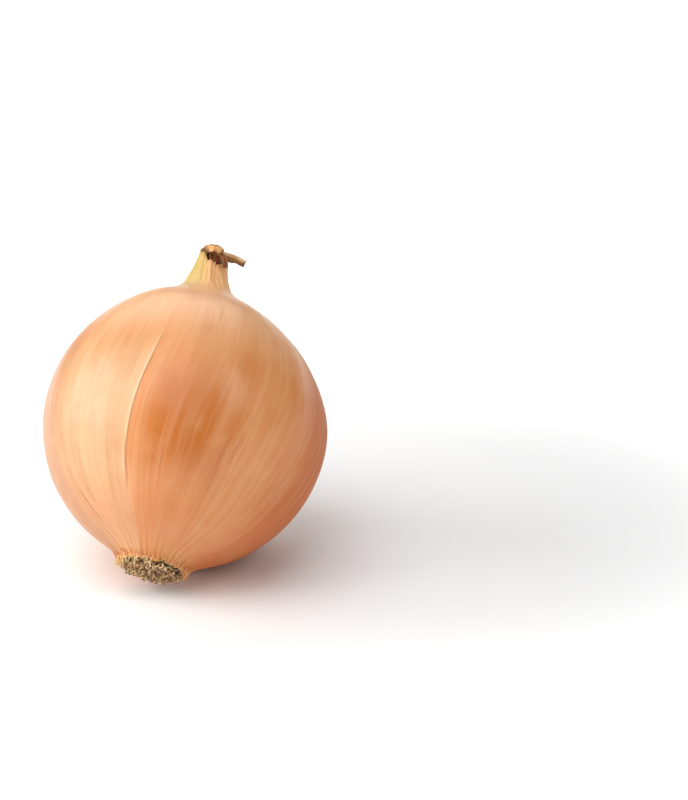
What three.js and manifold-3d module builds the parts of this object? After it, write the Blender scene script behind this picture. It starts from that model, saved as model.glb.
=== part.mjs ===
// A whole globe onion, dried for keeping, lying as it settles on a table: leaned back on its side, root end
// towards the viewer and neck up and away. Millimetres, +Z up, origin on the table under the middle of its
// box.
//
// The onion is drawn in its own frame first: +Z runs from the root plate to the neck, the equator is at
// height 0, and an angle round the bulb is 0 at the front (-Y) and grows towards the right (+X).
// Three bodies: the bulb with its neck, the tuft of dry root stubs, and the dead leaf ends in the neck.

import * as THREE from "three";
import { mergeVertices } from "three/addons/utils/BufferGeometryUtils.js";
import Module from "manifold-3d";

const wasm = await Module();
wasm.setup();

const degrees = THREE.MathUtils.degToRad;
const { smoothstep, lerp } = THREE.MathUtils;

// Driving dimensions of the bulb.
const bulbRadius = 40; // at the equator
const lowerHeight = 40.6; // polar radius of the half under the equator
const upperHeight = 38.8; // polar radius of the half over it
const hemRadius = 9.9; // the lower edge of the dry skin, round the root plate
const hemDepth = 42.5; // below the equator
const plateRadius = 8.9;
const plateRecess = 1.3; // the hem stands this much past the plate
const neckBaseRadius = 6.5;
const neckBaseHeight = 43.2;
const neckTopRadius = 4.8;
const neckTop = 50.8; // mean height of its lip
// How far the lip stands over or under that, at some angles round it in degrees.
const lipStations = [
  [-180, 2.2], [-95, 4.5], [-40, 1.2], [0, -1.9], [35, -2], [90, 0.2], [140, 1], [180, 2.2],
];
const hoodLean = 0.5; // the high side leans in over the mouth, in millimetres for each of its height
const mouthRadius = 3.6; // the open end of the neck
const mouthDepth = 4.6;
const plugRadius = 1.7; // the withered heart of the neck, which the leaf ends grow from
const plugDepth = 3;
const neckLean = 3.8; // how far the tip stands off the bulb's axis, to the left
const tipTurn = degrees(-14); // the tip turns back towards upright

// The relief of the dry skin.
const veinHeight = 0.2;
const lobeHeight = 0.4; // soft unevenness from the scales below
const pleatHeight = 0.36; // folds of the neck
const pleats = 11;
const footRidgeHeight = 0.28;
const footRidges = 18;
const shoulderFlat = 1; // the right shoulder is this much flatter than the left
const skinStep = 0.4; // where the outermost skin ends and the next one shows
const skinCurl = 0.22; // its edge stands up a little more
const frontEdge = degrees(-16.2); // the outermost skin runs from here
const skinSpan = degrees(216); // round the left and the back, this far

// How the onion lies.
const leanBack = degrees(40.5);
const leanRight = degrees(14);
const flatDepth = 0.5; // pressed flat where it bears on the table

// Root stubs.
const stubs = 104;
const stubRadius = 0.5;
const stubLength = 2.6;
const tuftRadius = 8.5;
const tuftDome = 1.5;
const tableGap = 0.2; // between the lowest stub and the table

const gap = 0.32; // between neighbouring bodies
const columns = 90; // round the bulb
const columnAngle = (2 * Math.PI) / columns;

const point2 = (radius, height) => new THREE.Vector2(radius, height);
const point3 = (x, y, z) => new THREE.Vector3(x, y, z);

// A random number from 0 to 1, the same row of them each time.
function seededRandom(seed) {
  let state = seed;
  return () => {
    state = (Math.imul(state, 1664525) + 1013904223) >>> 0;
    return state / 4294967296;
  };
}

// The angle from one direction round to another, from -pi to pi.
function turnBetween(from, to) {
  return Math.atan2(Math.sin(to - from), Math.cos(to - from));
}

function solidOf(geometry) {
  const bare = geometry.clone();
  bare.deleteAttribute("normal");
  bare.deleteAttribute("uv");
  const merged = mergeVertices(bare, 1e-4);
  return new wasm.Manifold(
    new wasm.Mesh({
      numProp: 3,
      vertProperties: merged.attributes.position.array,
      triVerts: new Uint32Array(merged.index.array),
    }),
  );
}

function geometryOf(solid) {
  const mesh = solid.getMesh();
  const geometry = new THREE.BufferGeometry();
  geometry.setAttribute("position", new THREE.BufferAttribute(mesh.vertProperties, 3));
  geometry.setIndex(new THREE.BufferAttribute(mesh.triVerts, 1));
  geometry.computeVertexNormals();
  return geometry;
}

function named(name, geometry, material) {
  const mesh = new THREE.Mesh(geometry, material);
  mesh.name = name;
  return mesh;
}

// A closed solid through rings of points, each with the same count, fanned shut at both ends.
function loft(rings) {
  const count = rings[0].length;
  const positions = rings.flat().flatMap((p) => p.toArray());
  const index = [];
  for (let ring = 0; ring < rings.length - 1; ring++) {
    for (let i = 0; i < count; i++) {
      const a = ring * count + i;
      const b = ring * count + ((i + 1) % count);
      index.push(a, b, b + count, a, b + count, a + count);
    }
  }
  const last = (rings.length - 1) * count;
  for (let i = 1; i < count - 1; i++) {
    index.push(0, i + 1, i);
    index.push(last, last + i, last + i + 1);
  }
  const geometry = new THREE.BufferGeometry();
  geometry.setAttribute("position", new THREE.Float32BufferAttribute(positions, 3));
  geometry.setIndex(index);
  return geometry;
}

// The half outline of the bulb, from the middle of the root plate round to the bottom of the mouth.
// Each stretch says how many rows of the mesh it gets.
function bulbOutline() {
  const lowerTurn = degrees(-64.4); // where the globe gives way to the foot of the bulb
  const upperTurn = degrees(58); // and to the shoulder
  const plateHeight = plateRecess - hemDepth;
  const lower = new THREE.EllipseCurve(0, 0, bulbRadius, lowerHeight, lowerTurn, 0);
  const upper = new THREE.EllipseCurve(0, 0, bulbRadius, upperHeight, 0, upperTurn);
  const footEnd = lower.getPoint(0);
  const shoulderStart = upper.getPoint(1);
  const hemInside = point2(plateRadius + 0.1, -hemDepth + 0.2);
  const hemOutside = point2(hemRadius, -hemDepth + 0.8);
  const footPull = lower.getTangent(0).multiplyScalar(-3);
  const shoulderPull = upper.getTangent(1).multiplyScalar(6.5);
  const neckBase = point2(neckBaseRadius, neckBaseHeight);
  const lip = point2(neckTopRadius, neckTop - 0.6);
  const lipInside = point2(mouthRadius, neckTop - 0.4);
  const mouthFloor = point2(mouthRadius - 0.7, neckTop - mouthDepth);
  const stretches = [
    [new THREE.LineCurve(point2(0, plateHeight), point2(plateRadius, plateHeight)), 2],
    [new THREE.LineCurve(point2(plateRadius, plateHeight), hemInside), 1],
    [new THREE.QuadraticBezierCurve(hemInside, point2(hemRadius - 0.2, -hemDepth - 0.2), hemOutside), 2],
    [new THREE.CubicBezierCurve(
      hemOutside, point2(hemRadius + 0.8, -hemDepth + 2.4), footEnd.clone().add(footPull), footEnd), 4],
    [lower, 11],
    [upper, 10],
    [new THREE.CubicBezierCurve(
      shoulderStart, shoulderStart.clone().add(shoulderPull),
      point2(neckBaseRadius + 0.6, neckBaseHeight - 4), neckBase), 7],
    [new THREE.QuadraticBezierCurve(neckBase, point2(neckTopRadius + 0.2, neckTop - 4.6), lip), 5],
    [new THREE.QuadraticBezierCurve(lip, point2(neckTopRadius - 0.6, neckTop + 0.3), lipInside), 2],
    [new THREE.LineCurve(lipInside, mouthFloor), 1],
    [new THREE.LineCurve(mouthFloor, point2(0, neckTop - mouthDepth)), 1],
  ];
  const points = stretches.flatMap(([curve, rows]) => curve.getPoints(rows).slice(0, -1));
  points.push(point2(0, neckTop - mouthDepth));
  // The ragged hem moves from hemRow on, and the relief is on the rows from skinRow to mouthRow.
  return { points, hemRow: 3, skinRow: 4, mouthRow: points.length - 3 };
}

// How far the two edges of the outermost skin wander from a plain meridian as they climb the bulb.
function edgeDrift(height) {
  return degrees(0.13) * height + degrees(1.2) * Math.sin(height / 9);
}

// Where a column of the mesh runs. The columns are drawn close on each side of the outermost skin's two
// edges, so that its step is sharp.
function columnTurn(column, height) {
  const even = frontEdge + (column + 0.5) * columnAngle;
  const reach = 3 * columnAngle;
  let turned = even;
  for (const edge of [frontEdge, frontEdge - skinSpan]) {
    const away = turnBetween(edge, even);
    if (Math.abs(away) < reach) {
      turned = edge + away * lerp(0.16, 1, smoothstep(Math.abs(away), 0, reach));
    }
  }
  return turned + edgeDrift(height);
}

// The outermost skin's step, on top of the smooth bulb. It fades out over the foot and under the neck.
function skinRelief(angle, height) {
  const fullTurn = 2 * Math.PI;
  const inside = THREE.MathUtils.euclideanModulo(frontEdge + edgeDrift(height) - angle, fullTurn);
  if (inside > skinSpan) return 0;
  const fromEdge = Math.min(inside, skinSpan - inside);
  const curl = skinCurl * (1 - smoothstep(fromEdge, 0, degrees(9)));
  const fade = smoothstep(height, -33, -18) * (1 - smoothstep(height, 24, 38));
  return (skinStep + curl) * fade;
}

// Everything that lifts the dry skin off a plain body of revolution, in millimetres outwards.
function relief(angle, height) {
  const onGlobe = 1 - smoothstep(Math.abs(height), 30, 40);
  const onNeck = smoothstep(height, 33, 45);
  const onShoulder = smoothstep(height, 4, 26) * (1 - smoothstep(height, 30, 40));
  const onFoot = smoothstep(-height, 30, 38);
  const veins = 0.55 * Math.sin(21 * angle + 0.8) + 0.45 * Math.sin(12 * angle + 2.1 + height / 30);
  const lobes = Math.sin(3 * angle + 1.1) + 0.6 * Math.sin(5 * angle - height / 22);
  const folds =
    0.7 * Math.sin(pleats * angle + 0.6) + 0.6 * Math.sin(7 * angle + 2) + 0.5 * Math.sin(4 * angle);
  return (
    veinHeight * veins * (0.35 + 0.65 * onGlobe) * (1 - onNeck) +
    lobeHeight * lobes * onGlobe +
    pleatHeight * folds * onNeck +
    footRidgeHeight * Math.sin(footRidges * angle + 1.3) * onFoot -
    shoulderFlat * Math.max(0, Math.sin(angle)) * onShoulder +
    skinRelief(angle, height)
  );
}

// Where the middle of the neck stands at a height: it leaves the axis in a soft bend.
function neckOffset(height) {
  return -neckLean * smoothstep(height, 22, neckTop);
}

// How much the slanting, ragged lip lifts the neck's rows there.
function lipRise(angle, height) {
  const round = THREE.MathUtils.radToDeg(turnBetween(0, angle));
  const next = Math.max(1, lipStations.findIndex(([at]) => at >= round));
  const [fromAt, fromRise] = lipStations[next - 1];
  const [toAt, toRise] = lipStations[next];
  const slant = lerp(fromRise, toRise, smoothstep(round, fromAt, toAt));
  const ragged = 0.2 * Math.sin(5 * angle + 1.9) + 0.15 * Math.sin(9 * angle);
  return (slant + ragged) * smoothstep(height, 43, neckTop);
}

// How far the ragged hem of the skin hangs down past its mean depth, with a few longer tatters.
function hemDrop(angle, height) {
  const tatters = [
    { at: 78, width: 8, drop: 2 },
    { at: 99, width: 6, drop: 1.3 },
    { at: -82, width: 18, drop: 0.8 },
    { at: 205, width: 12, drop: 0.9 },
  ];
  let drop =
    0.22 * Math.sin(11 * angle + 0.7) + 0.2 * Math.sin(17 * angle) + 0.15 * Math.sin(6 * angle + 2);
  for (const tatter of tatters) {
    const away = turnBetween(degrees(tatter.at), angle) / degrees(tatter.width);
    drop += tatter.drop * Math.exp(-(away ** 2));
  }
  return drop * smoothstep(-height, hemDepth - 1.2, hemDepth - 0.3);
}

// The whole bulb before it is pressed on the table: a body of revolution with its skin's relief.
function bulbBody() {
  const { points, hemRow, skinRow, mouthRow } = bulbOutline();
  const geometry = new THREE.LatheGeometry(points, columns);
  const position = geometry.attributes.position;
  for (let i = 0; i < position.count; i++) {
    const row = i % points.length;
    const column = Math.floor(i / points.length) % columns;
    const { x: radius, y: height } = points[row];
    const angle = columnTurn(column, height);
    let out = radius;
    let rise = 0;
    if (row >= skinRow && row < mouthRow) out += relief(angle, height);
    if (row >= hemRow && radius > 0) rise = lipRise(angle, height) - hemDrop(angle, height);
    if (height > 0) out -= hoodLean * Math.max(0, rise);
    position.setXYZ(i, out * Math.sin(angle) + neckOffset(height), -out * Math.cos(angle), height + rise);
  }
  return solidOf(geometry);
}

// One root stub: a thin crooked tube through three points.
function rootStub(path, radius) {
  const sides = 4;
  const steps = 3;
  const curve = new THREE.CatmullRomCurve3(path);
  const heading = path[2].clone().sub(path[0]).normalize();
  const axisX = point3(1, 0, 0).cross(heading).normalize();
  const axisY = heading.clone().cross(axisX);
  const rings = [];
  for (let step = 0; step <= steps; step++) {
    const along = step / steps;
    const centre = curve.getPoint(along);
    const thick = radius * (1 - 0.35 * along ** 2);
    const ring = [];
    for (let side = 0; side < sides; side++) {
      const turn = (2 * Math.PI * side) / sides;
      ring.push(centre.clone()
        .addScaledVector(axisX, thick * Math.cos(turn))
        .addScaledVector(axisY, thick * Math.sin(turn)));
    }
    rings.push(ring);
  }
  return loft(rings);
}

// The tuft, in its own frame: +Z points out of the root plate. heightOver gives a point's height over the
// table.
function rootTuft(heightOver) {
  const random = seededRandom(41);
  const spread = (most) => most * 2 * (random() - 0.5);
  const dome = new THREE.LatheGeometry([
    point2(0, 0),
    point2(tuftRadius - 0.5, 0),
    point2(tuftRadius, 0.35),
    point2(tuftRadius * 0.86, tuftDome * 0.62),
    point2(tuftRadius * 0.5, tuftDome * 0.92),
    point2(0, tuftDome),
  ], 30).rotateX(Math.PI / 2);
  const goldenAngle = Math.PI * (3 - Math.sqrt(5));
  const parts = [solidOf(dome)];
  for (let i = 0; i < stubs; i++) {
    const share = Math.sqrt((i + 0.5) / stubs);
    const turn = i * goldenAngle + spread(0.25);
    const outward = point3(Math.cos(turn), Math.sin(turn), 0);
    const across = point3(-Math.sin(turn), Math.cos(turn), 0);
    const startRadius = share * (tuftRadius - 0.9);
    const start = outward.clone().multiplyScalar(startRadius);
    start.z = Math.max(0.45, tuftDome * (1 - share ** 2) - 0.6);
    const tipRadius = Math.min(startRadius + spread(1.3), tuftRadius - 0.6);
    const tip = outward.clone().multiplyScalar(tipRadius).addScaledVector(across, spread(1.4));
    tip.z = start.z + stubLength * (1 + spread(0.3)) + 0.6 * (1 - share);
    const radius = stubRadius * (1 + spread(0.2));
    while (tip.z > start.z + 0.8 && heightOver(tip) < tableGap + radius) tip.z -= 0.1;
    const middle = start.clone().lerp(tip, 0.55)
      .addScaledVector(outward, spread(0.5))
      .addScaledVector(across, spread(0.5));
    parts.push(solidOf(rootStub([start, middle, tip], radius)));
  }
  return wasm.Manifold.union(parts);
}

// One dead leaf end: a cupped blade along a path, as wide at each station as widths says.
// side is the direction of its width, and cup how far its middle stands off the line between its edges.
function leafBlade({ path, widths, side, cup, thickness = 0.75 }) {
  const curve = new THREE.CatmullRomCurve3(path.map((p) => point3(...p)));
  const across = point3(...side).normalize();
  const stations = 9;
  const strips = 4;
  const rings = [];
  for (let station = 0; station <= stations; station++) {
    const along = station / stations;
    const place = along * (widths.length - 1);
    const low = Math.min(Math.floor(place), widths.length - 2);
    const half = lerp(widths[low], widths[low + 1], place - low) / 2;
    const centre = curve.getPoint(along);
    const face = across.clone().cross(curve.getTangent(along)).normalize();
    const top = [];
    const bottom = [];
    for (let strip = 0; strip <= strips; strip++) {
      const share = (2 * strip) / strips - 1;
      const middle = centre.clone()
        .addScaledVector(across, half * share)
        .addScaledVector(face, cup * (1 - share ** 2));
      top.push(middle.clone().addScaledVector(face, thickness / 2));
      bottom.push(middle.clone().addScaledVector(face, -thickness / 2));
    }
    rings.push([...top, ...bottom.reverse()]);
  }
  return loft(rings);
}

// The dead leaf ends, in a frame with +Z up the neck and the origin in the middle of its lip.
function leafEnds() {
  const blades = [
    // the cap: it comes up beside the high wall, folds over the mouth and droops at the front
    {
      path: [
        [0.9, -0.2, -1], [1.1, -0.5, 1.3], [1.1, -1.6, 2.8],
        [1, -2.9, 2.9], [0.9, -4.1, 1.6], [0.9, -4.8, -0.4],
      ],
      widths: [1.8, 2.2, 3.8, 5, 5, 3.6], side: [0.98, 0.2, 0], cup: -0.6,
    },
    // the long rolled one that points to the right
    {
      path: [
        [0.6, 0.3, -1], [1.8, 0.2, 1.1], [3.4, 0, 1.1],
        [5.6, -0.1, 0.2], [7.9, -0.2, -1], [9.9, -0.3, -2.2],
      ],
      widths: [1.8, 2.5, 2.6, 2.4, 2.2, 1.5], side: [0.1, 0.6, 0.8], cup: -0.6,
    },
    // its narrower partner, lying against it
    {
      path: [[0.6, 0.7, -1], [1.5, 1.1, 1.7], [3.1, 1.6, 2.3], [5.7, 1.1, 1.2]],
      widths: [1.5, 1.9, 1.6, 0.9], side: [0, 0.8, 0.6], cup: -0.35,
    },
    // a brown one that hangs over the lip at the front right
    {
      path: [[0.5, -0.6, -1], [1.6, -2.2, 0.2], [2.6, -4.2, -0.4], [3.6, -5.8, -2.2], [4.2, -6.2, -4.9]],
      widths: [1.8, 2.4, 2.7, 2.3, 1.4], side: [0.7, 0.7, 0], cup: 0.4,
    },
    // a short stiff one that stands at the back
    {
      path: [[0.3, 0.6, -1], [0.6, 0.8, 1.4], [1.2, 1.5, 3.4], [2, 2.9, 4.4]],
      widths: [1.8, 2.2, 2, 1], side: [1, 0.1, 0], cup: 0.4,
    },
  ];
  const plugTop = 0.6;
  const plugShift = 0.5; // away from the high side
  const plug = new THREE.CylinderGeometry(plugRadius, plugRadius - 0.2, plugDepth + plugTop, 14)
    .rotateX(Math.PI / 2)
    .translate(plugShift, 0, (plugTop - plugDepth) / 2);
  return wasm.Manifold.union([solidOf(plug), ...blades.map((blade) => solidOf(leafBlade(blade)))]);
}

const drySkin = new THREE.MeshStandardMaterial({ color: 0xd99a5f, roughness: 0.42, metalness: 0 });
const dryRoot = new THREE.MeshStandardMaterial({ color: 0xb08d5c, roughness: 0.9, metalness: 0 });
const deadLeaf = new THREE.MeshStandardMaterial({ color: 0xb57a45, roughness: 0.75, metalness: 0 });

// The lying onion carries its three bodies.
const onion = new THREE.Group();
onion.rotation.set(-leanBack, leanRight, 0);

const body = bulbBody();
const tuftPlace = new THREE.Group();
tuftPlace.position.z = plateRecess - hemDepth - gap;
tuftPlace.rotation.x = Math.PI;
const leafPlace = new THREE.Group();
leafPlace.position.set(neckOffset(neckTop), 0, neckTop);
leafPlace.rotation.y = tipTurn;
onion.add(tuftPlace, leafPlace);

// The bulb sinks into the table by the depth of its flat spot, which is then cut off level.
onion.updateMatrixWorld(true);
const lowest = new THREE.Box3().setFromBufferAttribute(
  geometryOf(body).applyMatrix4(onion.matrixWorld).attributes.position).min.z;
onion.position.z = -lowest - flatDepth;
onion.updateMatrixWorld(true);
const tableSize = 60;
const table = new THREE.BoxGeometry(tableSize, tableSize, tableSize)
  .translate(0, 0, -tableSize / 2)
  .applyMatrix4(onion.matrixWorld.clone().invert());
onion.add(named("bulb", geometryOf(body.subtract(solidOf(table))), drySkin));

const heightOver = (p) => p.clone().applyMatrix4(tuftPlace.matrixWorld).z;
tuftPlace.add(named("root_tuft", geometryOf(rootTuft(heightOver)), dryRoot));
leafPlace.add(named("leaf_ends", geometryOf(leafEnds()), deadLeaf));

// The origin goes under the middle of the whole onion's box.
const reach = new THREE.Box3().setFromObject(onion, true).getCenter(point3(0, 0, 0));
onion.position.x -= reach.x;
onion.position.y -= reach.y;

const part = new THREE.Group();
part.add(onion);
export default part;
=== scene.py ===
import math
import random

import bmesh
import bpy
import numpy as np
from mathutils import Matrix, Vector


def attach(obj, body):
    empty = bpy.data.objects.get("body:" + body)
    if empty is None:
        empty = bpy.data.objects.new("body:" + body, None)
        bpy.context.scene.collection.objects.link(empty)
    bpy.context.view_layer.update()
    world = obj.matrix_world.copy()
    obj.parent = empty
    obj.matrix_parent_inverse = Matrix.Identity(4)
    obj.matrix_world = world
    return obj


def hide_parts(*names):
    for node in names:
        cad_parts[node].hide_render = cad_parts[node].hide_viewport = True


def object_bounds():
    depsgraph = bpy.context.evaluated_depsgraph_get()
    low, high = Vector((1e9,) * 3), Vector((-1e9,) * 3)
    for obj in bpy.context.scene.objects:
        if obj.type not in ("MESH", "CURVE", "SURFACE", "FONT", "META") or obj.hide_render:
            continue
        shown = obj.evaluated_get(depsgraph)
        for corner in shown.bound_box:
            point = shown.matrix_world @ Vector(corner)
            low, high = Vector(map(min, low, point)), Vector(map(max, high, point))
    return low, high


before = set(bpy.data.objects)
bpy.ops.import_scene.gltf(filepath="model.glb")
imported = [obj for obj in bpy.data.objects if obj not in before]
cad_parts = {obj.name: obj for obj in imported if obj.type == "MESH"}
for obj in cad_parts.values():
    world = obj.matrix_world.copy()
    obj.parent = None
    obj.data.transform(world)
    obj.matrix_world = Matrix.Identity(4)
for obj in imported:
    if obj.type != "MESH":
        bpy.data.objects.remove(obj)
cad_low, cad_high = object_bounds()

# How the onion lies, the same as its solids do.
lean_back = math.radians(40.5)
lean_right = math.radians(14)
onion_place = Vector((0.1977, 0.5480, 39.9284))
millimetre = 0.001
lying = Matrix.Rotation(-lean_back, 4, "X") @ Matrix.Rotation(lean_right, 4, "Y")
place = Matrix.Scale(millimetre, 4) @ Matrix.Translation(onion_place) @ lying

# The bulb.
bulb_radius = 40
lower_height = 40.6
upper_height = 38.8
hem_radius = 9.9
hem_depth = 42.5
plate_radius = 8.9
plate_recess = 1.3
neck_base_radius = 6.5
neck_base_height = 43.2
neck_top_radius = 4.8
neck_top = 50.8
lip_stations = [(-180, 2.2), (-95, 4.5), (-40, 1.2), (0, -1.9), (35, -2), (90, 0.2), (140, 1), (180, 2.2)]
hood_lean = 0.5
wall_thickness = 0.5
mouth_radius = 3.6
mouth_depth = 4.6
neck_lean = 3.8
tip_turn = math.radians(-14)
front_edge = math.radians(-16.2)
skin_span = math.radians(216)
skin_step = 0.05
skin_curl = 0.06
columns = 420
column_cuts = 4


def smooth(value, low, high):
    """0 up to low, 1 from high on, and a soft climb between them."""
    share = np.clip((value - low) / (high - low), 0, 1)
    return share * share * (3 - 2 * share)


def turn_between(start, end):
    """The angle from one direction round to another, from -pi to pi."""
    return np.arctan2(np.sin(end - start), np.cos(end - start))


def bend(points, rows):
    """Points on a Bezier curve over three or four given points. The last is left out."""
    share = np.arange(rows) / rows
    rest = 1 - share
    if len(points) == 3:
        weights = [rest**2, 2 * rest * share, share**2]
    else:
        weights = [rest**3, 3 * rest**2 * share, 3 * rest * share**2, share**3]
    return sum(np.outer(weight, point) for weight, point in zip(weights, points))


def straight(start, end, rows):
    """Points on a line. The last is left out."""
    share = np.arange(rows) / rows
    return np.outer(1 - share, start) + np.outer(share, end)


def globe(half_height, start, end, rows):
    """Points on the globe's ellipse from one angle over the equator to another. The last is left out."""
    turns = start + (end - start) * np.arange(rows) / rows
    return np.stack([bulb_radius * np.cos(turns), half_height * np.sin(turns)], axis=1)


def bulb_outline():
    """The bulb's half outline from the middle of the root plate to the bottom of the mouth.

    Each row is a radius, a height, how much of the skin's relief it takes and how much of the lip's slant.
    """
    lower_turn = math.radians(-64.4)
    upper_turn = math.radians(58)
    plate = -hem_depth + plate_recess
    foot_end = globe(lower_height, lower_turn, 0, 1)[0]
    shoulder = globe(upper_height, upper_turn, 0, 1)[0]
    foot_way = np.array([-bulb_radius * math.sin(lower_turn), lower_height * math.cos(lower_turn)])
    shoulder_way = np.array([-bulb_radius * math.sin(upper_turn), upper_height * math.cos(upper_turn)])
    foot_pull = foot_end - 3 * foot_way / np.linalg.norm(foot_way)
    shoulder_pull = shoulder + 6.5 * shoulder_way / np.linalg.norm(shoulder_way)
    hem_inside = (plate_radius + 0.4, -hem_depth + 0.2)
    hem_outside = (hem_radius, -hem_depth + 0.8)
    neck_base = (neck_base_radius, neck_base_height)
    neck_pull = (neck_base_radius + 0.6, neck_base_height - 4)
    lip = (neck_top_radius, neck_top - 0.25)
    lip_inside = (neck_top_radius - wall_thickness, neck_top - 0.4)
    throat = (mouth_radius, neck_top - 2.4)
    floor_edge = (mouth_radius - 1.2, neck_top - mouth_depth)
    stretches = [
        (straight((0, plate), (plate_radius, plate), 5), 0, 0),
        (straight((plate_radius, plate), hem_inside, 4), 0, 0.6),
        (bend([hem_inside, (hem_radius - 0.2, -hem_depth - 0.2), hem_outside], 5), 0.6, 1),
        (bend([hem_outside, (hem_radius + 0.8, -hem_depth + 2.4), foot_pull, foot_end], 34), 1, 1),
        (globe(lower_height, lower_turn, 0, 56), 1, 1),
        (globe(upper_height, 0, upper_turn, 50), 1, 1),
        (bend([shoulder, shoulder_pull, neck_pull, neck_base], 32), 1, 1),
        (bend([neck_base, (neck_top_radius + 0.2, neck_top - 4.6), lip], 24), 1, 1),
        (bend([lip, (neck_top_radius - 0.25, neck_top + 0.15), lip_inside], 4), 1, 1),
        (straight(lip_inside, throat, 7), 1, 0.8),
        (straight(throat, floor_edge, 4), 0.8, 0),
        (straight(floor_edge, (0, neck_top - mouth_depth), 3), 0, 0),
    ]
    rows = []
    for points, first, last in stretches:
        shares = first + (last - first) * np.arange(len(points)) / len(points)
        rows.extend((*point, share) for point, share in zip(points, shares))
    rows.append((0, neck_top - mouth_depth, 0))
    return rows


def edge_drift(height):
    """How far the outermost skin's edges wander from a plain meridian as they climb the bulb."""
    return math.radians(0.13) * height + math.radians(1.2) * np.sin(height / 9)


def gathered(angle):
    """Draws the columns of the mesh close on each side of the outermost skin's two edges."""
    reach = math.radians(12)
    turned = angle.copy()
    for edge in (front_edge, front_edge - skin_span):
        away = turn_between(edge, angle)
        near = np.abs(away) < reach
        closer = edge + away * (0.16 + 0.84 * smooth(np.abs(away), 0, reach))
        turned = np.where(near, closer, turned)
    return turned


def skin_lies(angle, height):
    """How far round from its front edge a place lies in the outermost skin, and how much of it shows."""
    inside = np.mod(front_edge + edge_drift(height) - angle, 2 * math.pi)
    shows = smooth(height, -31, -23) * (1 - smooth(height, 3, 17))
    return inside, shows


def skin_relief(angle, height):
    """The outermost skin's step on the next one, with its edges curled up a little."""
    inside, shows = skin_lies(angle, height)
    from_edge = np.minimum(inside, skin_span - inside)
    curl = skin_curl * (1 - smooth(from_edge, 0, math.radians(4)))
    return np.where(inside < skin_span, (skin_step + curl) * shows, 0)


def veins(angle, height):
    """Fine raised lines that grow from the roots to the neck, each fading in and out on its way."""
    draw = random.Random(12)
    lift = np.zeros_like(angle)
    count = 74
    for number in range(count):
        home = 2 * math.pi * (number + draw.uniform(-0.35, 0.35)) / count
        swing = math.radians(draw.uniform(0.3, 1.1))
        drift = swing * np.sin(height / draw.uniform(14, 30) + draw.uniform(0, 6))
        wide = math.radians(draw.uniform(0.9, 1.7))
        strength = draw.uniform(0.03, 0.1)
        fades = 0.55 + 0.45 * np.sin(height / draw.uniform(7, 16) + draw.uniform(0, 6))
        away = turn_between(home + drift, angle) / wide
        lift += strength * fades * np.exp(-(away**2))
    return lift


def relief(angle, height):
    """Everything that lifts the dry skin off a plain body of revolution, in millimetres outwards."""
    on_globe = 1 - smooth(np.abs(height), 30, 40)
    on_neck = smooth(height, 33, 45)
    on_shoulder = smooth(height, 4, 26) * (1 - smooth(height, 30, 40))
    on_foot = smooth(-height, 30, 38)
    near_foot = smooth(-height, 22, 38)
    swells = 0.55 * np.sin(21 * angle + 0.8) + 0.45 * np.sin(12 * angle + 2.1 + height / 30)
    lobes = np.sin(3 * angle + 1.1) + 0.6 * np.sin(5 * angle - height / 22)
    folds = 0.7 * np.sin(11 * angle + 0.6) + 0.6 * np.sin(7 * angle + 2) + 0.5 * np.sin(4 * angle)
    fine_folds = np.sin(23 * angle + height / 4) + 0.7 * np.sin(31 * angle - height / 3 + 1)
    dimples = np.sin(height / 6.3 + 2 * np.sin(4 * angle)) * np.sin(6 * angle + height / 11)
    pleats = np.sin(18 * angle + 1.3)
    fine_pleats = np.sin(37 * angle + 0.4 + height / 9) + 0.8 * np.sin(53 * angle - height / 7)
    foot_swell = smooth(-height, 34, 40)
    return (
        0.1 * swells * (0.35 + 0.65 * on_globe) * (1 - on_neck)
        + veins(angle, height) * (0.75 - 0.4 * on_neck - 0.65 * near_foot)
        + 0.4 * lobes * on_globe
        + 0.1 * dimples * on_globe
        + 0.2 * folds * on_neck
        + 0.07 * fine_folds * on_neck
        + 0.05 * pleats * on_foot
        + 0.09 * fine_pleats * foot_swell
        - 1.0 * np.maximum(0, np.sin(angle)) * on_shoulder
        + skin_relief(angle, height)
    )


def neck_offset(height):
    """Where the middle of the neck stands: it leaves the axis in a soft bend to the left."""
    return -neck_lean * smooth(height, 22, neck_top)


def lip_rise(angle, height):
    """How much the slanting, ragged lip lifts the neck's rows."""
    round_about = np.degrees(turn_between(0, angle))
    slant = np.zeros_like(angle)
    for (from_at, from_rise), (to_at, to_rise) in zip(lip_stations, lip_stations[1:]):
        within = (round_about >= from_at) & (round_about <= to_at)
        level = from_rise + (to_rise - from_rise) * smooth(round_about, from_at, to_at)
        slant = np.where(within, level, slant)
    ragged = 0.2 * np.sin(5 * angle + 1.9) + 0.15 * np.sin(9 * angle)
    torn = 0.14 * np.sin(19 * angle + 1) + 0.1 * np.sin(34 * angle + 2) + 0.07 * np.sin(57 * angle)
    torn = torn * (0.75 + 0.45 * np.sin(4 * angle + 0.5) + 0.3 * np.sin(7 * angle + 2.6))
    at_lip = smooth(height, neck_top - 1.6, neck_top - 0.3)
    return (slant + ragged) * smooth(height, 43, neck_top) + torn * at_lip


def hem_drop(angle, height):
    """How far the ragged hem of the skin hangs past its mean depth, with a few longer tatters."""
    drop = 0.22 * np.sin(11 * angle + 0.7) + 0.2 * np.sin(17 * angle) + 0.15 * np.sin(6 * angle + 2)
    drop += 0.14 * np.sin(41 * angle + 1) + 0.12 * np.sin(67 * angle)
    for at, width, length in ((78, 8, 1.5), (99, 6, 1), (-82, 18, 0.8), (205, 12, 0.9)):
        away = turn_between(math.radians(at), angle) / math.radians(width)
        drop += length * np.exp(-(away**2))
    return drop * smooth(-height, hem_depth - 1.2, hem_depth - 0.3)


def laid_down(bm):
    """Lays a shape from the onion's own frame in millimetres down in the frame's metres."""
    bm.transform(place)


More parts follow.
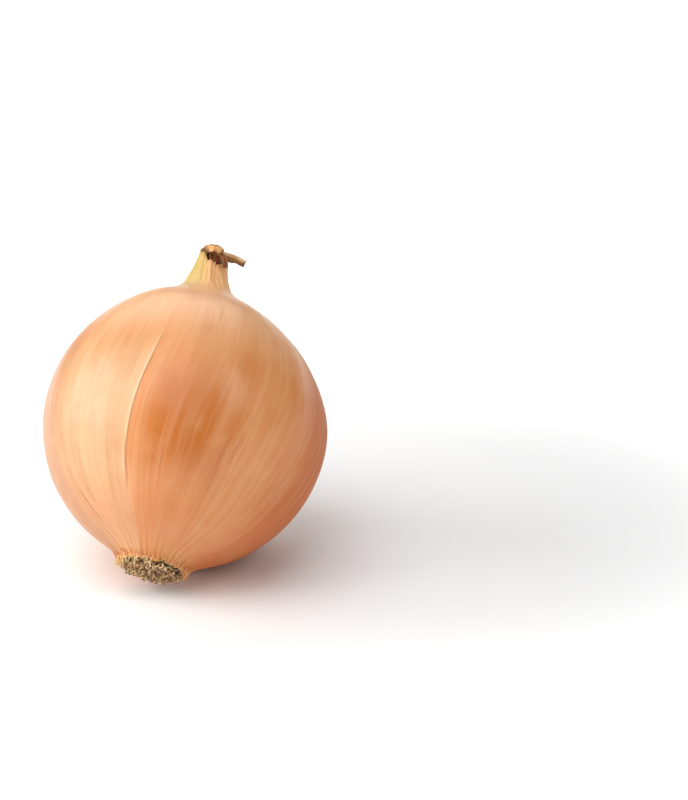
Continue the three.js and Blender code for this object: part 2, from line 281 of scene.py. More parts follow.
def finished(name, mesh, material, node, smooth_angle=None):
    """Makes the object, gives it its material, shades it smooth, parents it to the root's body and hides
    the CAD node that it stands for.
    """
    obj = bpy.data.objects.new(name, mesh)
    bpy.context.scene.collection.objects.link(obj)
    mesh.materials.append(material)
    mesh.shade_smooth()
    if smooth_angle:
        mesh.set_sharp_from_angle(angle=math.radians(smooth_angle))
    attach(obj, "root")
    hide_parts(node)


def attribute(mesh, name, kind, values):
    """Stores one value or vector for each vertex, for a material to read."""
    field = {"FLOAT": "value", "FLOAT_VECTOR": "vector"}[kind]
    made = mesh.attributes.new(name, kind, "POINT")
    made.data.foreach_set(field, np.asarray(values, np.float32).ravel())


def bulb_mesh():
    """The globe, its foot and the pleated neck, from one spun outline."""
    outline = np.array(bulb_outline())
    bm = bmesh.new()
    row_layer = bm.verts.layers.float.new("row")
    chain = []
    for row, (radius, height, share) in enumerate(outline):
        vert = bm.verts.new((radius, 0, height))
        vert[row_layer] = row
        chain.append(vert)
    for start, end in zip(chain, chain[1:]):
        bm.edges.new((start, end))
    bmesh.ops.spin(
        bm, geom=bm.verts[:] + bm.edges[:], cent=(0, 0, 0), axis=(0, 0, 1),
        angle=2 * math.pi, steps=columns // column_cuts, use_merge=True,
    )
    rings = [edge for edge in bm.edges if abs(edge.verts[0][row_layer] - edge.verts[1][row_layer]) < 0.5]
    bmesh.ops.subdivide_edges(bm, edges=rings, cuts=column_cuts - 1)
    bmesh.ops.remove_doubles(bm, verts=bm.verts[:], dist=1e-5)
    bmesh.ops.recalc_face_normals(bm, faces=bm.faces[:])
    mesh = bpy.data.meshes.new("dry_bulb")
    bm.to_mesh(mesh)
    bm.free()

    count = len(mesh.vertices)
    points = np.empty(count * 3)
    mesh.vertices.foreach_get("co", points)
    points = points.reshape(count, 3)
    row = np.empty(count)
    mesh.attributes["row"].data.foreach_get("value", row)
    mesh.attributes.remove(mesh.attributes["row"])
    radius, height, share = outline[np.rint(row).astype(int)].T
    spun_turn = np.arctan2(points[:, 1], points[:, 0])
    even = front_edge + spun_turn + math.pi / columns
    grown = gathered(even)
    angle = grown + edge_drift(height)

    inside, shows = skin_lies(angle, height)
    lip_reach = math.radians(0.35) * shows
    front_over = lip_reach * (1 - smooth(inside, 0, math.radians(1.3)))
    to_back_edge = skin_span - inside
    back_over = lip_reach * (1 - smooth(to_back_edge, 0, math.radians(1.3))) * (to_back_edge > 0)
    lifted = relief(angle, height)
    angle = angle + front_over - back_over

    out = radius + lifted * share
    at_middle = np.clip(radius / (mouth_radius - 1.2), 0, 1)
    rise = (lip_rise(angle, height) * at_middle - hem_drop(angle, height)) * (share > 0)
    rise += lip_rise(angle, height) * at_middle * (share == 0) * (height > 0)
    out = out - hood_lean * np.maximum(0, rise) * (height > 0) * at_middle
    sideways = out * np.sin(angle) + neck_offset(height)
    moved = np.stack([sideways, -out * np.cos(angle), height + rise], axis=1)
    mesh.vertices.foreach_set("co", moved.ravel())

    grain = np.stack([np.cos(grown), np.sin(grown), height / bulb_radius], axis=1)
    attribute(mesh, "grain", "FLOAT_VECTOR", grain)
    attribute(mesh, "own_height", "FLOAT", height)
    from_front = turn_between(front_edge + edge_drift(height), angle)
    attribute(mesh, "past_edge", "FLOAT", radius * np.sin(from_front))
    attribute(mesh, "outermost", "FLOAT", np.where(inside < skin_span, shows, 0))
    around = np.stack([np.cos(angle), np.sin(angle), 0 * angle], axis=1)
    attribute(mesh, "round", "FLOAT_VECTOR", around)

    bm = bmesh.new()
    bm.from_mesh(mesh)
    laid_down(bm)
    for vert in bm.verts:
        vert.co.y = max(vert.co.y, cad_low[1])
        vert.co.z = max(vert.co.z, 0)
    bm.to_mesh(mesh)
    bm.free()
    return mesh


# The root end.
gap = 0.32
tuft_radius = 8.5
tuft_dome = 1.5
stub_count = 520
curl_count = 170
fringe_count = 150
left_tatter_count = 90
right_tatter_count = 18
table_gap = 0.0004
tuft_place = Matrix.Translation((0, 0, plate_recess - hem_depth - gap)) @ Matrix.Rotation(math.pi, 4, "X")


def tube_template(sides, rows):
    """A straight closed tube, one unit in radius and length, with loops along it, to be bent."""
    bm = bmesh.new()
    bmesh.ops.create_cone(bm, cap_ends=True, segments=sides, radius1=1, radius2=1, depth=1)
    bmesh.ops.translate(bm, verts=bm.verts[:], vec=(0, 0, 0.5))
    upright = [edge for edge in bm.edges if abs(edge.verts[0].co.z - edge.verts[1].co.z) > 0.5]
    bmesh.ops.subdivide_edges(bm, edges=upright, cuts=rows - 1)
    mesh = bpy.data.meshes.new("tube_template")
    bm.to_mesh(mesh)
    bm.free()
    return mesh


def spline(points, share):
    """A point on a smooth curve through some points, share of the way along it."""
    steps = len(points) - 1
    index = min(int(share * steps), steps - 1)
    within = share * steps - index
    before = points[max(index - 1, 0)]
    start = points[index]
    end = points[index + 1]
    after = points[min(index + 2, steps)]
    from_way = (end - before) / 2
    to_way = (after - start) / 2
    squared = within * within
    cubed = squared * within
    return (
        start * (2 * cubed - 3 * squared + 1)
        + from_way * (cubed - 2 * squared + within)
        + end * (3 * squared - 2 * cubed)
        + to_way * (cubed - squared)
    )


def add_bent_tube(bm, template, path, radii, side, tint, flatness=1.0):
    """Adds one tube along a path. side is the direction of its width, and flatness its thickness for that.

    Its vertices keep its tint, and as grain their place across it and along it in millimetres.
    """
    tint_layer = bm.verts.layers.float["tint"]
    grain_layer = bm.verts.layers.float_vector["grain"]
    length = sum((end - start).length for start, end in zip(path, path[1:]))
    before = len(bm.verts)
    bm.from_mesh(template)
    bm.verts.ensure_lookup_table()
    added = bm.verts[before:]
    for vert in added:
        across, over, share = vert.co
        middle = spline(path, share)
        way = (spline(path, min(share + 0.05, 1)) - spline(path, max(share - 0.05, 0))).normalized()
        normal = way.cross(side).normalized()
        width = normal.cross(way)
        radius = float(np.interp(share, np.linspace(0, 1, len(radii)), radii))
        vert.co = middle + width * (across * radius) + normal * (over * radius * flatness)
        vert[tint_layer] = tint
        vert[grain_layer] = (across * radius, over * radius + 40 * tint, share * length)
    return added


def fibre_layers(bm):
    """The values that each fibre's vertices carry for its material."""
    bm.verts.layers.float.new("tint")
    bm.verts.layers.float.new("along")
    bm.verts.layers.float_vector.new("grain")


def root_tuft_mesh():
    """The mat of dry, crinkled root stubs on its low dome."""
    draw = random.Random(41)
    dome = bmesh.new()
    outline = [(0, 0), (tuft_radius - 0.5, 0), (tuft_radius, 0.35), (tuft_radius * 0.86, tuft_dome * 0.62),
               (tuft_radius * 0.5, tuft_dome * 0.92), (0, tuft_dome)]
    chain = [dome.verts.new((radius, 0, height)) for radius, height in outline]
    for start, end in zip(chain, chain[1:]):
        dome.edges.new((start, end))
    bmesh.ops.spin(
        dome, geom=dome.verts[:] + dome.edges[:], cent=(0, 0, 0), axis=(0, 0, 1),
        angle=2 * math.pi, steps=48, use_merge=True,
    )
    bmesh.ops.remove_doubles(dome, verts=dome.verts[:], dist=1e-4)
    bmesh.ops.recalc_face_normals(dome, faces=dome.faces[:])
    mesh = bpy.data.meshes.new("root_mat")
    dome.to_mesh(mesh)
    dome.free()
    bm = bmesh.new()
    bm.from_mesh(mesh)
    fibre_layers(bm)
    for vert in bm.verts:
        vert[bm.verts.layers.float["tint"]] = 0.02
    template = tube_template(5, 6)
    golden_angle = math.pi * (3 - math.sqrt(5))
    for number in range(stub_count):
        share = math.sqrt((number + 0.5) / stub_count)
        turn = number * golden_angle + draw.uniform(-0.25, 0.25)
        outward = Vector((math.cos(turn), math.sin(turn), 0))
        across = Vector((-math.sin(turn), math.cos(turn), 0))
        start_radius = share * (tuft_radius - 0.35)
        length = 2.2 * draw.uniform(0.45, 1.35) + 0.7 * (1 - share)
        start = outward * start_radius
        start.z = max(0.2, tuft_dome * (1 - share**2) - 0.5)
        reach = min(start_radius + draw.uniform(-1.7, 1.5), tuft_radius - 0.1)
        tip = outward * reach + across * draw.uniform(-1.8, 1.8)
        tip.z = start.z + length
        radius = draw.uniform(0.16, 0.34)
        while tip.z > start.z + 0.6 and (place @ tuft_place @ tip).z < table_gap + radius * millimetre:
            tip.z -= 0.1
        path = [start]
        for step in (0.25, 0.5, 0.75, 0.9):
            knee = start.lerp(tip, step)
            knee += outward * draw.uniform(-0.6, 0.6) + across * draw.uniform(-0.6, 0.6)
            path.append(knee)
        path.append(tip)
        radii = [radius * 1.15, radius, radius * draw.uniform(0.8, 1.1), radius * draw.uniform(0.45, 0.9)]
        add_bent_tube(bm, template, path, radii, across, draw.random(), draw.uniform(0.6, 1))
    # loose curls that lie across the mat
    curl_template = tube_template(5, 9)
    for number in range(curl_count):
        turn = draw.uniform(0, 2 * math.pi)
        start_radius = (tuft_radius - 1.2) * math.sqrt(draw.random())
        heading = draw.uniform(0, 2 * math.pi)
        way = Vector((math.cos(heading), math.sin(heading), 0))
        aside = Vector((-way.y, way.x, 0))
        length = draw.uniform(1.6, 3.6)
        bow = draw.uniform(-0.9, 0.9)
        begin = Vector((math.cos(turn), math.sin(turn), 0)) * start_radius
        path = []
        for step in range(6):
            along_it = step / 5
            point = begin + way * (length * along_it) + aside * (bow * math.sin(math.pi * along_it * 1.3))
            flat = min(math.hypot(point.x, point.y) / tuft_radius, 1)
            point *= min(1, (tuft_radius - 0.15) / max(math.hypot(point.x, point.y), 0.01))
            point.z = tuft_dome * (1 - flat**2) + draw.uniform(0.9, 1.9)
            while point.z > 0.4 and (place @ tuft_place @ point).z < table_gap + 0.3 * millimetre:
                point.z -= 0.1
            path.append(point)
        radius = draw.uniform(0.14, 0.26)
        radii = [radius * 0.5, radius, radius, radius * 0.5]
        add_bent_tube(bm, curl_template, path, radii, Vector((0, 0, 1)), draw.uniform(0.15, 1), 0.9)
    along = bm.verts.layers.float["along"]
    for vert in bm.verts:
        dome_height = tuft_dome * (1 - min(math.hypot(vert.co.x, vert.co.y) / tuft_radius, 1) ** 2)
        vert[along] = vert.co.z - dome_height
    bm.transform(tuft_place)
    laid_down(bm)
    bm.to_mesh(mesh)
    bm.free()
    return mesh


def foot_radius(height):
    """The plain outline's radius near the foot of the bulb."""
    rows = [(h, r) for r, h, share in bulb_outline() if share > 0.9 and h < 0]
    rows.sort()
    return float(np.interp(height, [h for h, r in rows], [r for h, r in rows]))


def fringe_mesh():
    """Fibres of the torn skin that hang round the root plate: short all round, longer in two tatters."""
    draw = random.Random(7)
    bm = bmesh.new()
    fibre_layers(bm)
    along = bm.verts.layers.float["along"]
    template = tube_template(4, 6)
    # each fibre's place in degrees, how far it stands out and hangs, its width and its tint
    fibres = []
    for number in range(fringe_count):
        around = 360 * (number + draw.uniform(-0.5, 0.5)) / fringe_count
        hangs = draw.uniform(-0.3, 0.7)
        fibres.append((around, draw.uniform(-1.6, 0.1), hangs, draw.uniform(0.07, 0.2), draw.random()))
    for number in range(left_tatter_count):
        around = draw.gauss(-70, 26)
        stands_out = draw.uniform(-1.3, 0.6)
        hangs = draw.uniform(0.2, 2)
        fibres.append((around, stands_out, hangs, draw.uniform(0.07, 0.17), 0.9))
    for number in range(right_tatter_count):
        around = draw.gauss(84, 9)
        stands_out = draw.uniform(-1, 0.5)
        hangs = draw.uniform(0.3, 1.8)
        fibres.append((around, stands_out, hangs, draw.uniform(0.1, 0.2), 1.4))
    for around, stands_out, hangs, width, tint in fibres:
        angle = math.radians(around)
        outward = Vector((math.sin(angle), -math.cos(angle), 0))
        across = Vector((math.cos(angle), math.sin(angle), 0))
        top = -hem_depth + draw.uniform(0.5, 2.8)
        drop = float(hem_drop(np.array([angle]), np.array([-hem_depth]))[0])
        start = outward * (foot_radius(top) + float(relief(np.array([angle]), np.array([top]))[0]) - 0.08)
        start.z = top
        hem = outward * (hem_radius + draw.uniform(0, 0.35)) + across * draw.uniform(-0.4, 0.4)
        hem.z = -hem_depth + 0.4
        middle = start.lerp(hem, 0.5) + outward * draw.uniform(0, 0.2)
        tip = outward * (hem_radius + stands_out) + across * draw.uniform(-1, 1)
        tip.z = -hem_depth - max(0.0, drop) - hangs
        bent = hem.lerp(tip, 0.55) + outward * draw.uniform(-0.3, 0.3) + across * draw.uniform(-0.35, 0.35)
        for point in (bent, tip):
            lowest = (place @ point).z
            if lowest < table_gap:
                point.z += (table_gap - lowest) / millimetre / 0.7
        radii = [0.02, width * 0.8, width, width * 0.6, 0.03]
        path = [start, middle, hem, bent, tip]
        for vert in add_bent_tube(bm, template, path, radii, across, tint, 0.35):
            vert[along] = -vert.co.z - hem_depth
    laid_down(bm)
    mesh = bpy.data.meshes.new("torn_fringe")
    bm.to_mesh(mesh)
    bm.free()
    return mesh


# The dead leaf ends in the mouth of the neck.
leaf_thickness = 0.28
leaf_reach = 1.4
mouth_middle = (float(neck_offset(neck_top)), 0, neck_top)
leaf_place = Matrix.Translation(mouth_middle) @ Matrix.Rotation(tip_turn, 4, "Y")


def add_blade(bm, path, widths, side, cup, tint, seed, roll=0.0, torn=0.14, cells=(46, 18)):
    """Adds one dead leaf end: a thin, wrinkled blade along a path, with a torn tip.

    widths are full widths at even stations, side the direction of its width, cup how far its middle stands
    off the line between its edges, and roll how many turns it is rolled up across its width.
    """
    draw = random.Random(seed)
    phases = [draw.uniform(0, 6.28) for _ in range(8)]
    points = [Vector(point) for point in path]
    across = Vector(side).normalized()
    blade = bmesh.new()
    tint_layer = blade.verts.layers.float.new("tint")
    along_layer = blade.verts.layers.float.new("along")
    edge_layer = blade.verts.layers.float.new("edge")
    over_layer = blade.verts.layers.float.new("over")
    grain_layer = blade.verts.layers.float_vector.new("grain")
    length = sum((end - start).length for start, end in zip(points, points[1:]))
    bmesh.ops.create_grid(blade, x_segments=cells[0], y_segments=cells[1], size=1)
    for vert in blade.verts:
        share = (vert.co.x + 1) / 2
        over = vert.co.y
        ragged = 0.5 + 0.3 * math.sin(7 * over + phases[0]) + 0.2 * math.sin(19 * over + phases[1])
        reach = share * (1 - torn * ragged)
        middle = spline(points, reach)
        way = (spline(points, min(reach + 0.02, 1)) - spline(points, max(reach - 0.02, 0))).normalized()
        face = across.cross(way).normalized()
        half = float(np.interp(reach, np.linspace(0, 1, len(widths)), widths)) / 2
        half *= 1 + 0.07 * math.sin(17 * reach + phases[2]) + 0.05 * math.sin(31 * reach + phases[3])
        wrinkle = 0.07 * math.sin(9 * over + 3 * reach + phases[4])
        wrinkle += 0.05 * math.sin(17 * over + phases[5])
        wrinkle += 0.08 * math.sin(13 * reach + 3 * over + phases[6])
        if roll:
            turn = over * roll * math.pi
            radius = half * (0.75 + 0.25 * over)
            offset = across * (radius * math.sin(turn))
            offset += face * (radius * (math.cos(turn) - 0.5) + wrinkle)
        else:
            offset = across * (half * over) + face * (cup * (1 - over**2) + wrinkle)
        vert.co = middle + offset
        vert[tint_layer] = tint
        vert[along_layer] = share
        vert[edge_layer] = max(abs(over), share**6)
        vert[over_layer] = over
        vert[grain_layer] = (over * half, seed, reach * length)
    home = blade.verts.layers.float_vector.new("home")
    for vert in blade.verts:
        vert[home] = vert.co
    blade.normal_update()
    bmesh.ops.solidify(blade, geom=blade.faces[:], thickness=leaf_thickness)
    # in a sharp fold the second side would shoot far out
    for vert in blade.verts:
        offset = vert.co - vert[home]
        if offset.length > leaf_reach * leaf_thickness:
            vert.co = vert[home] + offset.normalized() * leaf_reach * leaf_thickness
    blade.verts.layers.float_vector.remove(home)
    bmesh.ops.recalc_face_normals(blade, faces=blade.faces[:])
    mesh = bpy.data.meshes.new("blade")
    blade.to_mesh(mesh)
    blade.free()
    bm.from_mesh(mesh)
    bpy.data.meshes.remove(mesh)


def leaf_ends_mesh():
    """The blades that stand and curl out of the neck."""
    bm = bmesh.new()
    # the cap, which folds over the mouth and droops at the front
    add_blade(
        bm,
        [
            (0.8, -0.2, -2.5), (1, -0.5, 1.3), (1, -1.6, 2.8),
            (1, -2.9, 2.9), (0.9, -4.1, 1.7), (0.9, -4.8, -0.1),
        ],
        [1.8, 2.6, 4.4, 5.3, 5.4, 4.4], (0.97, 0.15, -0.17), -0.6, 0.35, 3, torn=0.1)
    # the dark curled rim that shows over the cap
    add_blade(
        bm,
        [
            (-1.2, -2.4, 1.8), (-1.2, -2.6, 2.9), (-0.2, -2.8, 3.7),
            (1.4, -2.7, 3.7), (3, -2.6, 2.8), (3.5, -2.4, 1.4),
        ],
        [0.8, 0.9, 0.8, 0.8, 0.9, 0.8], (0, 0.7, 0.7), 0.05, 0.1, 17, torn=0.02, cells=(30, 6))
    # the long rolled one that points to the right
    add_blade(
        bm,
        [
            (0.6, 0.3, -2.5), (1.8, 0.2, 1.7), (3.4, 0, 1.9),
            (5.6, -0.1, 1.1), (7.9, -0.2, 0.1), (9.9, -0.3, -1.2),
        ],
        [1.8, 2.2, 2.2, 2.1, 1.9, 1.4], (-0.1, -0.6, -0.8), -0.6, 0.8, 5, roll=0.85, torn=0.06)
    # its narrower partner, lying against it
    add_blade(
        bm, [(0.6, 0.7, -2.5), (1.5, 1.1, 1.7), (3.1, 1.6, 2.3), (5.2, 1.1, 1.4)],
        [1.5, 1.9, 1.6, 0.9], (0, 0.8, 0.6), -0.35, 0.6, 8)
    # two brown ones that hang over the lip at the front right
    add_blade(
        bm, [(0.6, -0.6, -2.5), (1.3, -2, 0.4), (2.3, -3.8, 0.7), (3.4, -5.2, -1.1), (4, -5.5, -4.6)],
        [1.4, 1.5, 1.7, 1.7, 1.3], (0.8, 0.55, -0.1), 0.45, 0.13, 13, torn=0.1, cells=(30, 12))
    add_blade(
        bm, [(1, -0.4, -2.5), (1.9, -1.8, 0.5), (3, -3.6, 0.9), (4.1, -4.8, -0.9), (4.7, -5.1, -3.9)],
        [1, 1, 1, 1, 0.7], (0.6, 0.8, -0.1), 0.35, 0.2, 14, torn=0.1, cells=(30, 12))
    # a short stiff one that stands at the back
    add_blade(
        bm, [(0.3, 0.6, -2.5), (0.6, 0.8, 1.4), (1.2, 1.5, 3.2), (2, 2.9, 4)],
        [1.8, 2.2, 2, 1], (1, 0.1, 0), 0.4, 0.5, 21)
    # the inner leaf that lines the back of the mouth
    add_blade(
        bm, [(0.6, 1.7, -4), (0.6, 1.6, -1.5), (0.6, 1.3, 1.2), (0.6, 0.4, 3.2)],
        [4.6, 5.4, 6, 5.8], (1, 0.05, 0), -0.7, 0.02, 27, torn=0.1, cells=(24, 24))
    # the withered heart of the neck, as shreds in its mouth
    shred_count = 11
    for number in range(shred_count):
        turn = 2 * math.pi * number / shred_count + 0.4
        out = Vector((math.cos(turn), math.sin(turn), 0))
        along = (-out.y, out.x, 0)
        tip = out * 1.9 + Vector((0.4, 0, 0.1 + 0.6 * math.sin(number * 2.3) + 0.5 * out.y))
        deep = out * 0.5 + Vector((0, 0, -4))
        middle = out * 1.6 + Vector((0, 0, -2))
        add_blade(
            bm, [deep, middle, tip],
            [1.2, 2, 1.4], along, 0.3, 0.02, 30 + number, torn=0.4, cells=(16, 8))
    bm.transform(leaf_place)
    laid_down(bm)
    mesh = bpy.data.meshes.new("withered_leaves")
    bm.to_mesh(mesh)
    bm.free()
    return mesh


# Materials.
def srgb(red, green, blue):
    """A colour as a screen shows it, 0 to 255, in the linear values that shaders take."""
    linear = []
    for part in (red, green, blue):
        value = part / 255
        linear.append(value / 12.92 if value <= 0.04045 else ((value + 0.055) / 1.055) ** 2.4)
    return (*linear, 1)


class Shades:
    """A node tree with short ways to place and join its nodes."""

    def __init__(self, tree):
        self.tree = tree

    def node(self, kind, **settings):
        made = self.tree.nodes.new(kind)
        for name, value in settings.items():
            setattr(made, name, value)
        return made

    def feed(self, socket, value):
        if isinstance(value, bpy.types.NodeSocket):
            self.tree.links.new(value, socket)
        else:
            socket.default_value = value

    def math(self, operation, first, second=0.0):
        made = self.node("ShaderNodeMath", operation=operation)
        self.feed(made.inputs[0], first)
        self.feed(made.inputs[1], second)
        return made.outputs[0]

    def times(self, first, second):
        return self.math("MULTIPLY", first, second)

    def span(self, value, low, high, to_low=0.0, to_high=1.0):
        made = self.node("ShaderNodeMapRange", interpolation_type="SMOOTHSTEP")
        for name, number in (("Value", value), ("From Min", low), ("From Max", high)):
            self.feed(made.inputs[name], number)
        self.feed(made.inputs["To Min"], to_low)
        self.feed(made.inputs["To Max"], to_high)
        return made.outputs["Result"]

    def mix(self, share, first, second):
        made = self.node("ShaderNodeMix", data_type="RGBA")
        self.feed(made.inputs["Factor"], share)
        self.feed(made.inputs["A"], first)
        self.feed(made.inputs["B"], second)
        return made.outputs["Result"]

    def read(self, name, output="Fac"):
        return self.node("ShaderNodeAttribute", attribute_name=name).outputs[output]


def fibre_group():
    """Streaks along a grown skin, root or leaf: fine, middling and broad ones, and their relief."""
    group = bpy.data.node_groups.new("grown_fibres", "ShaderNodeTree")
    sockets = group.interface
    sockets.new_socket("Grain", in_out="INPUT", socket_type="NodeSocketVector")
    for name, value in (("Fineness", 60.0), ("Length", 1.5)):
        sockets.new_socket(name, in_out="INPUT", socket_type="NodeSocketFloat").default_value = value
    for name in ("Fine", "Middling", "Broad", "Relief"):
        sockets.new_socket(name, in_out="OUTPUT", socket_type="NodeSocketFloat")
    shades = Shades(group)
    taken = shades.node("NodeGroupInput").outputs
    given = shades.node("NodeGroupOutput").inputs

    def streaks(across, along, detail, shift):
        wide = shades.times(taken["Fineness"], across)
        long = shades.times(taken["Length"], along)
        scale = shades.node("ShaderNodeCombineXYZ")
        shades.feed(scale.inputs["X"], wide)
        shades.feed(scale.inputs["Y"], wide)
        shades.feed(scale.inputs["Z"], long)
        stretched = shades.node("ShaderNodeVectorMath", operation="MULTIPLY_ADD")
        shades.feed(stretched.inputs[0], taken["Grain"])
        shades.feed(stretched.inputs[1], scale.outputs["Vector"])
        stretched.inputs[2].default_value = (shift, shift * 1.7, shift * 0.6)
        noise = shades.node("ShaderNodeTexNoise")
        shades.feed(noise.inputs["Vector"], stretched.outputs["Vector"])
        noise.inputs["Scale"].default_value = 1
        noise.inputs["Detail"].default_value = detail
        noise.inputs["Roughness"].default_value = 0.55
        return noise.outputs["Fac"]

    fine = streaks(1, 1, 3, 3.1)
    middling = streaks(0.3, 0.8, 2, 11.4)
    broad = streaks(0.07, 0.9, 2, 5.2)
    shades.feed(given["Fine"], fine)
    shades.feed(given["Middling"], middling)
    shades.feed(given["Broad"], broad)
    both = shades.math("ADD", shades.times(fine, 0.6), shades.times(middling, 0.8))
    shades.feed(given["Relief"], both)
    return group


grown_fibres = fibre_group()


def mark_group():
    """A fine dark line on the skin from one place to another, fading out at both ends."""
    group = bpy.data.node_groups.new("grown_mark", "ShaderNodeTree")
    sockets = group.interface
    for name in ("Turn", "Height", "Start Turn", "Start Height", "End Turn", "End Height", "Width"):
        sockets.new_socket(name, in_out="INPUT", socket_type="NodeSocketFloat")
    sockets.new_socket("Mask", in_out="OUTPUT", socket_type="NodeSocketFloat")
    shades = Shades(group)
    taken = shades.node("NodeGroupInput").outputs
    given = shades.node("NodeGroupOutput").inputs
    reach = shades.math("SUBTRACT", taken["End Height"], taken["Start Height"])
    share = shades.math("DIVIDE", shades.math("SUBTRACT", taken["Height"], taken["Start Height"]), reach)
    swing = shades.math("SUBTRACT", taken["End Turn"], taken["Start Turn"])
    middle = shades.math("ADD", taken["Start Turn"], shades.times(swing, share))
    ripple = shades.math("SINE", shades.times(taken["Height"], 0.9))
    waver = shades.times(ripple, 0.003)
    away = shades.math("SUBTRACT", taken["Turn"], shades.math("ADD", middle, waver))
    widths_away = shades.math("DIVIDE", shades.math("ABSOLUTE", away), taken["Width"])
    across = shades.span(widths_away, 0.2, 1, 1.0, 0.0)
    begun = shades.span(share, -0.05, 0.3)
    ended = shades.span(share, 0.6, 1.05, 1.0, 0.0)
    shades.feed(given["Mask"], shades.times(across, shades.times(begun, ended)))
    return group


grown_mark = mark_group()


def new_material(name, fineness, length):
    """A material with a Principled shader and the fibre group, ready to be painted."""
    material = bpy.data.materials.new(name)
    material.use_nodes = True
    shades = Shades(material.node_tree)
    shader = material.node_tree.nodes["Principled BSDF"]
    fibres = shades.node("ShaderNodeGroup", node_tree=grown_fibres)
    shades.feed(fibres.inputs["Grain"], shades.read("grain", "Vector"))
    fibres.inputs["Fineness"].default_value = fineness
    fibres.inputs["Length"].default_value = length
    return material, shades, shader, fibres.outputs


def fibre_bump(shades, shader, fibres, strength, distance):
    """Raises the fibres a little in the shading. distance is in metres."""
    bump = shades.node("ShaderNodeBump")
    bump.inputs["Strength"].default_value = strength
    bump.inputs["Distance"].default_value = distance
    shades.feed(bump.inputs["Height"], fibres["Relief"])
    shades.feed(shader.inputs["Normal"], bump.outputs["Normal"])


# Fine lines on the skin: from which turn in degrees and height to which, then their half width and
# their strength. The first is a crack in the dry skin at the lower left, the others are short scars.
skin_marks = [
    (-56, -28.6, -51.5, -37.4, 0.9, 0.9),
    (-49, -27.5, -46.5, -33, 0.8, 0.3),
    (23.5, -11, 20.5, -23, 1.6, 0.3),
    (28.5, -9, 26, -21, 1.9, 0.3),
    (31.5, -12, 29.5, -19, 1.2, 0.2),
    (18, -15, 17.5, -25, 1.2, 0.25),
    (-20.5, -16, -19, -30, 0.8, 0.4),
    (8, 20, 11, 28, 0.9, 0.22),
]


